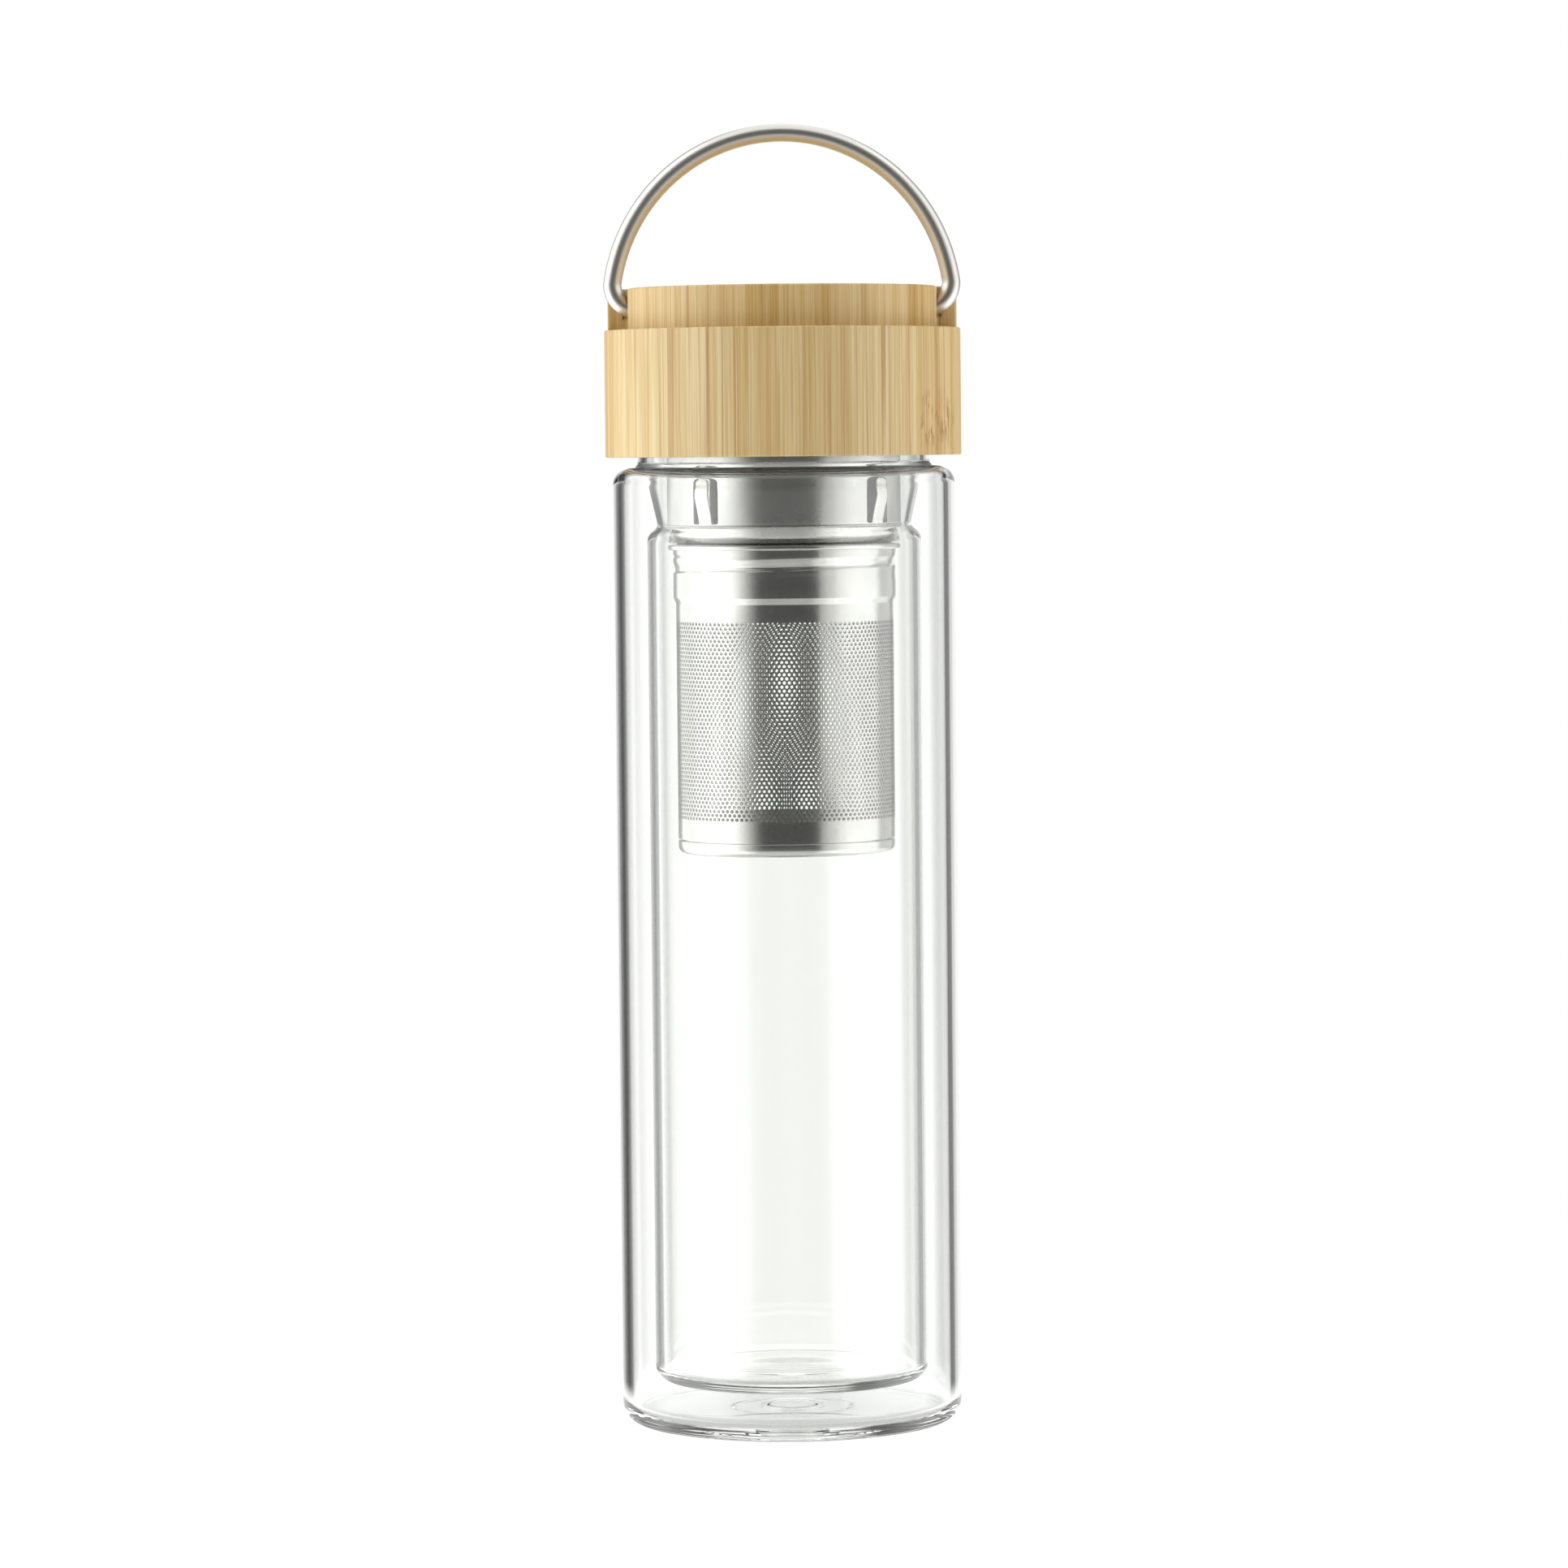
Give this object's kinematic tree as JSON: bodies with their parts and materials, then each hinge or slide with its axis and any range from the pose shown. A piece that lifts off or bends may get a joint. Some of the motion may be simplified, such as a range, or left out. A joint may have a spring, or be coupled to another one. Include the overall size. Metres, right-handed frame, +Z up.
{
  "type": "tea bottle",
  "caption": "Double-walled glass bottle with a screwed bamboo lid, a folding wire carry handle and a lift-out steel tea infuser.",
  "frame": {"origin": "centre of the flat base that the bottle stands on", "axes": "+Z up along the bottle's axis, the front with the lid's narrower lobe towards -Y, the handle's pivot along X"},
  "size_m": [0.0702, 0.07, 0.2557],
  "materials": {
    "glass": "clear",
    "infuser_steel": "satin",
    "bamboo": "sanded and oiled",
    "liner": "moulded",
    "silicone": "matt",
    "handle_steel": "satin"
  },
  "bodies": {
    "glass": {"outer_glass": "glass", "inner_glass": "glass", "vent_seal": "glass"},
    "infuser": {"infuser_sleeve": "infuser_steel", "sieve_plate": "infuser_steel"},
    "seal": {"lid_gasket": "silicone"},
    "lid": {"bamboo_lid": "bamboo", "lid_liner": "liner"},
    "handle": {"handle": "handle_steel"},
    "basket_base": {"basket_bottom": "infuser_steel"},
    "basket": {"infuser_basket": "infuser_steel"}
  },
  "joints": [
    {"name": "infuser_lift", "type": "slide", "parent": "glass", "child": "infuser", "axis": [0, 0, 1], "range_m": [0, 0.1]},
    {"name": "lid_rise", "type": "slide", "parent": "infuser", "child": "seal", "axis": [0, 0, 1], "range_m": [0, 0.006]},
    {"name": "lid_turn", "type": "hinge", "parent": "seal", "child": "lid", "pos_m": [0, 0, 0.2], "axis": [0, 0, 1], "range_deg": [0, 541]},
    {"name": "handle_fold", "type": "hinge", "parent": "lid", "child": "handle", "pos_m": [0, 0, 0.2195], "axis": [1, 0, 0], "range_deg": [0, 93]},
    {"name": "basket_drop", "type": "slide", "parent": "infuser", "child": "basket_base", "axis": [0, 0, -1], "range_m": [0, 0.006]},
    {"name": "basket_turn", "type": "hinge", "parent": "basket_base", "child": "basket", "pos_m": [0, 0, 0.168], "axis": [0, 0, -1], "range_deg": [0, 721]}
  ],
  "couplings": [
    {"joint": "lid_turn", "follows": "lid_rise", "rad_per_m": 1570.8},
    {"joint": "basket_turn", "follows": "basket_drop", "rad_per_m": 2094.4}
  ]
}
